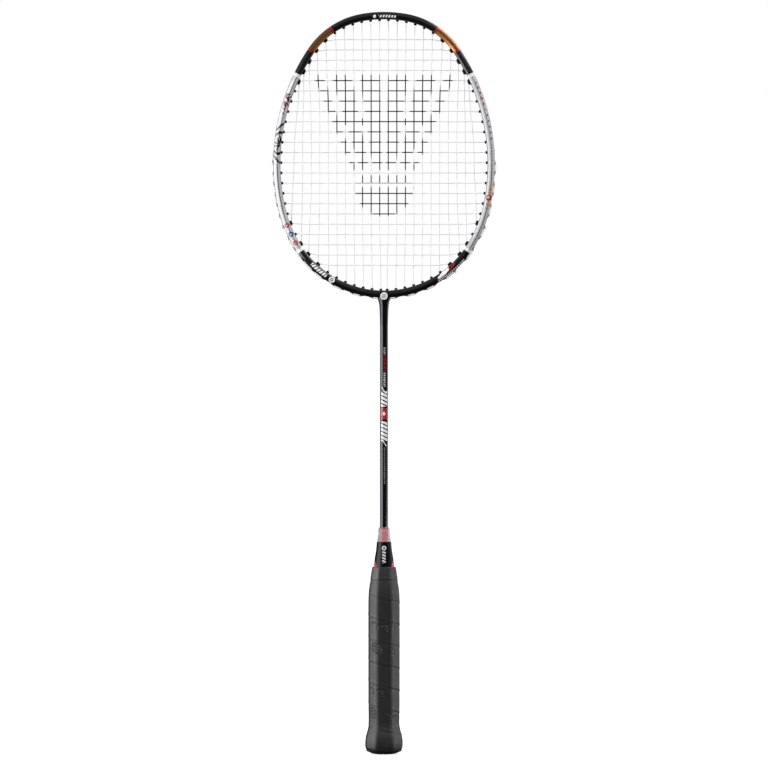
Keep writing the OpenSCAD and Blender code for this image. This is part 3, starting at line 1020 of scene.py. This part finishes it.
def shaft_lacquer():
    """Black lacquer with small plain marks up the front and the back."""
    colour = (0.003, 0.0032, 0.0036)
    paint = Paint("shaft_lacquer", colour, Specular_IOR_Level=0.75, Specular_Tint=COOL)
    x, _, z = paint.place()
    # Rows of small marks: from, to, pitch, half length, place, half width and colour
    for low, high, pitch, half_length, place, half_width, colour in (
        (363.5, 370, 1.9, 0.65, 0.5, 0.8, (0.55, 0.55, 0.55)),
        (348, 363, 3.7, 1.5, 0.6, 0.95, (0.4, 0.02, 0.025)),
        (334, 347, 2.1, 0.75, 0.5, 0.85, (0.7, 0.7, 0.7)),
        (246, 279, 1.7, 0.5, 0.5, 0.55, (0.35, 0.35, 0.35)),
    ):
        rows = (z - low * MM).wave(pitch * MM).near(0.0, half_length * MM)
        line = x.near(place * MM, half_width * MM)
        paint.mix(rows * line * z.between(low * MM, high * MM), colour)
    # The main motif: white slanted bars above and below a red block with a white diamond
    slanted = (z + x * 0.5 - 316 * MM).wave(3.6 * MM).near(0.0, 1.2 * MM) * x.near(0.2 * MM, 2.7 * MM)
    white = slanted * (z.near(323 * MM, 7 * MM) + z.near(293.5 * MM, 9 * MM))
    for wing_z, middle in (330.5, 331), (283.5, 283):
        wing = (x * 1.6 + z - wing_z * MM).near(0.0, 0.7 * MM)
        white = white + wing * z.near(middle * MM, 3 * MM)
    block_z = 309.5 * MM
    paint.mix(z.near(block_z, 5.2 * MM) * x.near(0.2 * MM, 2.8 * MM), (0.62, 0.035, 0.03))
    diamond = (abs(x) * 1.4 + abs(z - block_z)).below(2.1 * MM)
    white = (white + diamond).least(1.0)
    paint.mix(white, BRIGHT)
    # Painted light: the white marks glow
    paint.glow(white * 0.2)
    return paint.done(0.15, 0.06)


def cone_tip(material):
    """Clear shell with a roof round the shaft and a skirt inside the sleeve."""
    bore, wall, skirt = SHAFT_R + 0.02 * MM, 4.5 * MM, 5.9 * MM
    roof = CONE_TOP - 1.2 * MM
    outline = [
        (bore, CONE_TOP), (wall, CONE_TOP), (4.9 * MM, CONE_TOP - 0.8 * MM), (6.4 * MM, SLEEVE_TOP),
        (skirt, SLEEVE_TOP), (skirt, CONE_LOW), (5.2 * MM, CONE_LOW), (5.5 * MM, SLEEVE_TOP),
        (4.15 * MM, roof), (bore, roof),
    ]
    verts, faces = lathe(rounded(outline, 0.3 * MM), 96)
    piece("cone_tip_clear", verts, faces, material, "cone_clear", "cone_tip", sharp=40)


def cone_clear():
    """Clear plastic, slightly smoky, with a red ring at the top and a painted highlight streak down the
    front, right of the middle.
    """
    paint = Paint("cone_clear", (0.26, 0.26, 0.26), IOR=1.45)
    x, y, z = paint.place()
    ring = z.above(205.1 * MM, 0.15 * MM)
    paint.mix(ring, (0.6, 0.12, 0.15))
    # Painted highlight: a pale streak down the front, 4.4 mm right of the middle
    paint.mix(x.near(4.4 * MM, 0.5 * MM, 0.3 * MM) * y.below(0.0), (0.9, 0.9, 0.9))
    paint.set(Alpha=ring * 0.4 + 0.42)
    paint.bump(paint.noise(300, 2.0), 0.05 * MM, 0.15)
    return paint.done(0.1, 0.06, 80)


def cone_liner(material):
    """Red sleeve round the shaft with raised ribs."""
    low, high = (corner.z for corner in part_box("cone_liner"))
    ribs, steps = 16, 6
    turns = [2 * math.pi * s / (ribs * steps) for s in range(ribs * steps)]
    outer = [(3.6 + 0.25 * (0.5 - 0.5 * math.cos(ribs * turn))) * MM for turn in turns]
    inner = [SHAFT_R + 0.01 * MM] * len(turns)
    levels = [low, (low + high) / 2, high]
    rings = [(z, outer) for z in levels] + [(z, inner) for z in levels[::-1]]
    verts = [(r * math.sin(t), -r * math.cos(t), z) for z, ring in rings for r, t in zip(ring, turns)]
    faces = wall_faces(len(rings), len(turns), closed_path=True)
    piece("cone_liner_ribbed", verts, faces, material, "cone_red", "cone_liner", sharp=50)


def cone_red():
    """Red, with painted highlights: paler ribs and a whitish band near the top. It also glows pink, as
    painted light.
    """
    # Painted light: the liner glows pink, though it is no lamp
    light = {"Emission_Color": (0.85, 0.2, 0.25, 1), "Emission_Strength": 0.75}
    paint = Paint("cone_red", (0.7, 0.08, 0.12), **light)
    x, y, z = paint.place()
    # Painted highlights: the ribs are paler
    paint.mix(distance(x, y).above(3.77 * MM, 0.04 * MM), (1.0, 0.8, 0.82))
    # Painted highlight: a whitish band near the top
    paint.mix(z.near(203.3 * MM, 0.8 * MM, 0.3 * MM), (0.95, 0.9, 0.9))
    return paint.done(0.3, 0.1)


def cone_sleeve(material):
    outer = [(9.45, 168), (9.45, 170.4), (9.1, 172.5), (8.8, 175.5), (8.6, 177.8), (8.2, 179.7),
             (7.75, 182.3), (7.35, 185), (7, 187.8), (6.8, 190.6), (6.6, 193.1)]
    inner = [(5.9, 193.1), (5.9, 190.5), (5.2, 190.5), (8.4, 168)]
    verts, faces = lathe(rounded([(r * MM, z * MM) for r, z in outer + inner], 0.9 * MM), 96)
    piece("cone_sleeve_shell", verts, faces, material, "cone_black", "cone_sleeve", sharp=40)


def cone_black():
    """Satin black, with a red panel low on each side and plain white marks on the front and back."""
    colour = (0.003, 0.0033, 0.0038)
    paint = Paint("cone_black", colour, Specular_IOR_Level=0.26, Specular_Tint=COOL)
    x, y, z = paint.place()
    rise = ((abs(x) - 6.8 * MM).most(0.0) / (1.9 * MM)).math("POWER", 1.5)
    panel = z.below(rise * (6.9 * MM) + 171.8 * MM, 0.15 * MM) * abs(x).above(6.9 * MM, 0.3 * MM)
    paint.mix(panel, (0.7, 0.07, 0.07))
    face = abs(y).above(5 * MM, 0.5 * MM)
    r = distance(x, z - 187.5 * MM)
    paint.mix(r.below(2.1 * MM) * face, BRIGHT)
    paint.mix(r.below(0.9 * MM) * face, BLACK)
    slanted = (z + x * 0.4 - 183.6 * MM).wave(2.7 * MM).near(0.0, 0.8 * MM)
    paint.mix(slanted * z.near(179.0 * MM, 5.4 * MM) * abs(x).below(1.6 * MM) * face, BRIGHT)
    paint.bump(paint.noise(700, 3.0), 0.02 * MM, 0.3)
    return paint.done(0.3, 0.06)


# ---- Handle ----

GRIP_RATIO = 26 / 28.6
CORNER_RATIO = 7.4 / 14.3
WRAP_T = 1.2 * MM
WRAP_LOW, WRAP_TOP = (corner.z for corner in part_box("grip_wrap"))
# Height and half width of the wrapped handle
HANDLE = [
    (2.5, 15.5), (5, 16.7), (9, 17.2), (12.5, 17.1), (16.5, 16.6), (20, 15.5), (23.5, 14.6),
    (27, 14.1), (50, 14.3), (138, 14.3), (145, 14.1), (149, 13.75), (154, 13.1), (158, 12.3), (168, 10.42),
]
COLLAR = [(158.6, 12.6), (164, 11.75), (170.2, 10.75)]
TURN_PITCH = 20 * MM
SEAM_AT_FRONT = 161.7 * MM
# Length of tape in one turn round the handle
TAPE_ROUND = 84 * MM
# The pressed marks repeat along the tape
EMBOSS_EVERY = 248 * MM
EMBOSS_START = -7 * MM + 4 * TAPE_ROUND


def half_width(outline, z):
    """Half width at a height, with the outline's kinks rounded off."""
    heights, halves = np.array(outline).T * MM
    reach = 2 * MM
    return float(np.mean(np.interp(z + np.linspace(-reach, reach, 7), heights, halves)))


def octagon(half, inset, reach, samples):
    """Rounded octagon as evenly spaced points that start at the front and go round by +X."""
    d = half * GRIP_RATIO - inset
    c = half * CORNER_RATIO - inset * (2 - math.sqrt(2))
    w = half - inset
    right = [(w - c, -d), (w, c - d), (w, d - c), (w - c, d)]
    outline = np.array(rounded(right + [(-x, y) for x, y in right[::-1]], reach, 6))
    # Start in the middle of the front facet
    outline = np.vstack([[0, -d], outline, [0, -d]])
    steps = np.linalg.norm(np.diff(outline, axis=0), axis=1)
    length = np.concatenate([[0], np.cumsum(steps)])
    places = np.linspace(0, length[-1], samples, endpoint=False)
    return np.column_stack([np.interp(places, length, column) for column in outline.T])


def pushed(x, y, z, shift):
    """The point moved away from the handle's axis."""
    share = 1 + shift / math.hypot(x, y)
    return x * share, y * share, z


def bell(gap, width, power=2):
    return math.exp(-(gap / width) ** power)


def seam_distance(z, turn):
    """Distance above the nearest seam below, along Z. turn is the share of a full circle from the front."""
    return (z - (SEAM_AT_FRONT - TURN_PITCH * turn)) % TURN_PITCH


def grip_wrap(material):
    """Tape wound up the handle. Each turn's lower edge lies over the turn below, beside a crease."""
    samples, levels = 176, 420
    verts, paint = [], []
    for i in range(levels + 1):
        z = WRAP_LOW + (WRAP_TOP - WRAP_LOW) * i / levels
        trim = 0.5 * MM * (1 - min((z - WRAP_LOW) / (0.9 * MM), 1.0)) ** 2
        for s, (x, y) in enumerate(octagon(half_width(HANDLE, z), 0, 3.2 * MM, samples)):
            turn = s / samples
            d = seam_distance(z, turn)
            # The crease is deepest round the +X side
            deep = 0.2 + 0.8 * bell(turn - 0.25, 0.15, 4)
            crease = 0.3 * MM * deep * bell(min(d, TURN_PITCH - d), 0.4 * MM)
            swell = 0.12 * MM * bell(d - 1.3 * MM, 1.2 * MM)
            dip = 0.1 * MM * bell(d - TURN_PITCH + 1.5 * MM, 1.3 * MM)
            verts.append(pushed(x, y, z, swell - crease - dip - trim))
            windings = round((z - d - SEAM_AT_FRONT + TURN_PITCH * turn) / TURN_PITCH)
            paint.append(((turn - windings) * TAPE_ROUND, d, deep))
    for z in (WRAP_TOP, WRAP_LOW):
        ring = octagon(half_width(HANDLE, z), WRAP_T, 2.6 * MM, samples)
        verts.extend((x, y, z) for x, y in ring)
        paint.extend([(0, 0, 0)] * samples)
    faces = wall_faces(levels + 3, samples, closed_path=True)
    obj = piece("grip_wrap_tape", verts, faces, material, "grip_leather", "grip_wrap", sharp=60)
    point_attribute(obj, "tape", paint)


def grip_leather():
    """Soft synthetic leather: fine grain, painted shade in the creases at the seams, and plain pressed
    marks painted darker as shade in their grooves.
    """
    paint = Paint("grip_leather", (0.013, 0.0133, 0.014), Specular_IOR_Level=0.8)
    length, above_seam, deep = paint.attribute("tape")
    grain = paint.cells(1500)
    pores = paint.noise(800, 4.0)
    paint.mix(pores.above(0.55, 0.12) * 0.6, (0.017, 0.0175, 0.0185))
    beside = 0.5 * MM
    seam = above_seam.below(beside, 0.4 * MM) + above_seam.above(TURN_PITCH - beside, 0.4 * MM)
    # Painted shade in the seam creases, darkest where the crease is deepest
    paint.mix(seam * deep * 0.6, (0.004, 0.004, 0.005))
    # One double ring and two rows of small hooks, pressed into the tape
    soft = 0.25 * MM
    along_tape = (length - EMBOSS_START).wave(EMBOSS_EVERY)
    up = above_seam - 13.5 * MM
    r = distance(along_tape, up)
    rings = r.near(4.4 * MM, 0.4 * MM, soft) + r.near(2.0 * MM, 0.4 * MM, soft)
    small = (along_tape - 4.5 * MM).wave(9 * MM)
    hooks = distance(small, up).near(3.0 * MM, 0.5 * MM, soft) * (up + small * 0.7).above(-1.2 * MM)
    rows = along_tape.near(40 * MM, 27 * MM) + along_tape.near(-94 * MM, 20 * MM)
    _, _, z = paint.place()
    pressed = (rings + rows * hooks).least(1.0) * z.near(82 * MM, 60 * MM)
    # Painted shade: the pressed marks are darker, as in their grooves
    paint.mix(pressed * 0.7, (0.003, 0.003, 0.0035))
    paint.bump(grain * 0.12 + pores * 0.15 - pressed, 0.4 * MM)
    return paint.done(0.5, 0.16, 70)


def collar(material):
    """Finishing tape round the top of the wrap, with one overlap that slants round it."""
    low, high = (corner.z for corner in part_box("collar_tape"))
    samples, levels = 144, 36
    corner_r = 2.6 * MM
    verts = []
    for i in range(levels + 1):
        t = i / levels
        z = low + (high - low) * t
        roll = 0.25 * MM * (max(0, 1 - t * 14) ** 2 + max(0, 1 - (1 - t) * 14) ** 2)
        for s, (x, y) in enumerate(octagon(half_width(COLLAR, z), 0, corner_r, samples)):
            line = low + (high - low) * ((s / samples + 0.3) % 1.0)
            verts.append(pushed(x, y, z, -0.12 * MM * bell(z - line, 0.35 * MM) - roll))
    for z, half in (high, 10.43 * MM), (168 * MM, 10.43 * MM), (low, 12.2 * MM):
        verts.extend((x, y, z) for x, y in octagon(half, 0, corner_r, samples))
    faces = wall_faces(levels + 4, samples, closed_path=True)
    piece("collar_tape_band", verts, faces, material, "collar_tape", "collar_tape", sharp=60)


def speckled(name, colour, speck_colour, scale, limit, roughness, **values):
    """Moulded surface with a fine grain of a second colour."""
    paint = Paint(name, colour, **values)
    grain = paint.noise(scale, 3.0)
    paint.mix(grain.above(limit, 0.1) * 0.5, speck_colour)
    paint.bump(grain, 0.03 * MM, 0.4)
    return paint.done(roughness, 0.15, 90)


def collar_rubber():
    colour, speck = (0.03, 0.0305, 0.0315), (0.018, 0.019, 0.02)
    return speckled("collar_tape", colour, speck, 1200, 0.55, 0.45, Specular_IOR_Level=0.75)


def butt_cap(material):
    """End of the butt below the wrap: it closes to a flat face with a shallow recess."""
    samples = 144
    recess, top = 0.7, 5.0
    # Height and half width in mm, from the recess outwards and up
    stations = [
        (recess, 5.2), (0, 5.3), (0, 7.2), (0.25, 8.6), (0.9, 11.2), (1.7, 13.2), (2.5, 14.6),
        (3.4, 15.3), (top, 15.4), (top, 9.0),
    ]
    verts = [(0, 0, recess * MM), (0, 0, top * MM)]
    for z, half in stations:
        half *= MM
        verts.extend((x, y, z * MM) for x, y in octagon(half, 0, half * 0.22, samples))
    faces = [tuple(i + 2 for i in face) for face in wall_faces(len(stations), samples)]
    last = len(verts) - samples
    for s in range(samples):
        t = (s + 1) % samples
        faces.append((0, t + 2, s + 2))
        faces.append((1, last + s, last + t))
    piece("butt_cap_end", verts, faces, material, "butt_plastic", "butt_cap", sharp=40)


def butt_plastic():
    colour, speck = (0.012, 0.012, 0.013), (0.022, 0.022, 0.023)
    return speckled("butt_plastic", colour, speck, 900, 0.58, 0.5)


# ---- CAD pieces that stay inside: each gets its own material ----


def wood():
    paint = Paint("handle_wood", (0.5, 0.31, 0.15))
    x, y, z = paint.place()
    stretched = paint.node("ShaderNodeCombineXYZ", X=x * 8.0, Y=y * 8.0, Z=z * 0.4)
    grain = paint.noise(60, 4.0, at=stretched.outputs[0], distortion=0.6)
    paint.mix(grain.above(0.5, 0.15), (0.36, 0.2, 0.09))
    paint.bump(grain, 0.05 * MM, 0.3)
    return paint.done(0.6)


def plain(name, colour, roughness, metallic=0.0):
    """Moulded or drawn material with a faint mottle."""
    paint = Paint(name, colour, Metallic=metallic)
    mottle = paint.noise(300, 3.0)
    paint.mix(mottle.above(0.5, 0.2) * 0.4, tuple(c * 0.8 for c in colour))
    return paint.done(roughness, 0.1, 120)


def dress_inside():
    looks = {
        "handle_core": wood(),
        "tee_insert": plain("insert_plastic", (0.12, 0.13, 0.15), 0.5),
        "shaft_plug": plain("plug_foam", (0.7, 0.6, 0.42), 0.8),
        "butt_nails": plain("nail_steel", (0.6, 0.6, 0.62), 0.3, 1.0),
        "butt_badge": plain("butt_badge_print", (0.7, 0.7, 0.71), 0.35),
    }
    for node, material in looks.items():
        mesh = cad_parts[node].data
        mesh.materials.clear()
        mesh.materials.append(material)


# ---- Stage: pale floor, soft studio light, and a long lens square to the string bed ----

VIEW_HEIGHT = 698.6 * MM
VIEW_CENTRE_Z = 336.6 * MM
DISTANCE = 6.0
SENSOR = 36.0
# Strength of the surroundings in front, behind and above
DIM = 0.04
BACKDROP = 0.12
CEILING = 0.25


def camera():
    data = bpy.data.cameras.new("camera")
    data.sensor_width = SENSOR
    data.lens = SENSOR * DISTANCE / VIEW_HEIGHT
    data.clip_end = 100
    obj = added("camera", data)
    obj.location = (0, -DISTANCE, VIEW_CENTRE_Z)
    obj.rotation_euler = (math.radians(90), 0, 0)
    bpy.context.scene.camera = obj


def softbox(name, place, aim, size, power, spread=180):
    data = bpy.data.lights.new(name, "AREA")
    data.spread = math.radians(spread)
    data.shape = "RECTANGLE"
    data.size, data.size_y = size
    data.energy = power
    obj = added(name, data)
    obj.location = place
    obj.rotation_euler = (Vector(aim) - Vector(place)).to_track_quat("-Z", "Y").to_euler()
    obj.visible_camera = False


def lights():
    middle = (0, 0, 0.36)
    softbox("key_left", (-1.18, -0.43, 0.4), middle, (1.35, 1.35), 23)
    softbox("edge_right", (1.13, 0.46, 0.4), middle, (0.6, 1.4), 4)
    softbox("high_right", (1.3, -0.4, 1.9), middle, (1.2, 1.0), 32)
    softbox("low_right", (1.25, -0.4, 0.08), (0, 0, 0.05), (0.5, 0.12), 0.12, spread=28)


def surroundings():
    """White to the camera. To the surfaces: dim in front, paler behind the racket and above it."""
    world = bpy.data.worlds.new("studio")
    bpy.context.scene.world = world
    world.use_nodes = True
    tree = world.node_tree
    back = tree.nodes["Background"]
    back.inputs["Color"].default_value = (1, 1, 1, 1)
    direction = tree.nodes.new("ShaderNodeTexCoord")
    split = tree.nodes.new("ShaderNodeSeparateXYZ")
    tree.links.new(direction.outputs["Generated"], split.inputs[0])
    behind = Field(tree, split.outputs["Y"]).above(0.75, 0.2) * (BACKDROP - DIM) + DIM
    above = Field(tree, split.outputs["Z"]).above(0.45, 0.2) * CEILING
    path = tree.nodes.new("ShaderNodeLightPath")
    level = Field(tree, path.outputs["Is Camera Ray"]).most(behind + above)
    tree.links.new(level.socket, back.inputs["Strength"])


def floor():
    """Pale floor that fades to white away from the racket."""
    half, cells = 9.0, 12
    ticks = [half * (2 * i / cells - 1) for i in range(cells + 1)]
    verts = [(x, y, 0) for x in ticks for y in ticks]
    corners = [i * (cells + 1) + j for i in range(cells) for j in range(cells)]
    faces = [(a, a + cells + 1, a + cells + 2, a + 1) for a in corners]
    mesh = bpy.data.meshes.new("floor")
    mesh.from_pydata(verts, [], faces)
    obj = added("floor", mesh)
    paint = Paint("floor", (0.8, 0.8, 0.8), Emission_Color=(1, 1, 1, 1))
    x, y, _ = paint.place()
    paint.mix(paint.noise(8, 2.0).above(0.5, 0.3) * 0.5, (0.78, 0.78, 0.78))
    paint.set(Emission_Strength=distance(x, y).above(0.3, 0.3) * 0.45 + 0.6)
    mesh.materials.append(paint.done(0.9))
    obj.visible_diffuse = False
    obj.visible_glossy = False
    obj.visible_transmission = False


camera()
lights()
surroundings()
floor()

frame_tube(frame_lacquer())
tee_joint(tee_lacquer())
tee_badge(badge_print())
grommets(grommet_nylon())
strings(string_nylon())
shaft(shaft_lacquer())
cone_tip(cone_clear())
cone_liner(cone_red())
cone_sleeve(cone_black())
grip_wrap(grip_leather())
collar(collar_rubber())
butt_cap(butt_plastic())
dress_inside()

bpy.context.scene.view_settings.view_transform = "Standard"
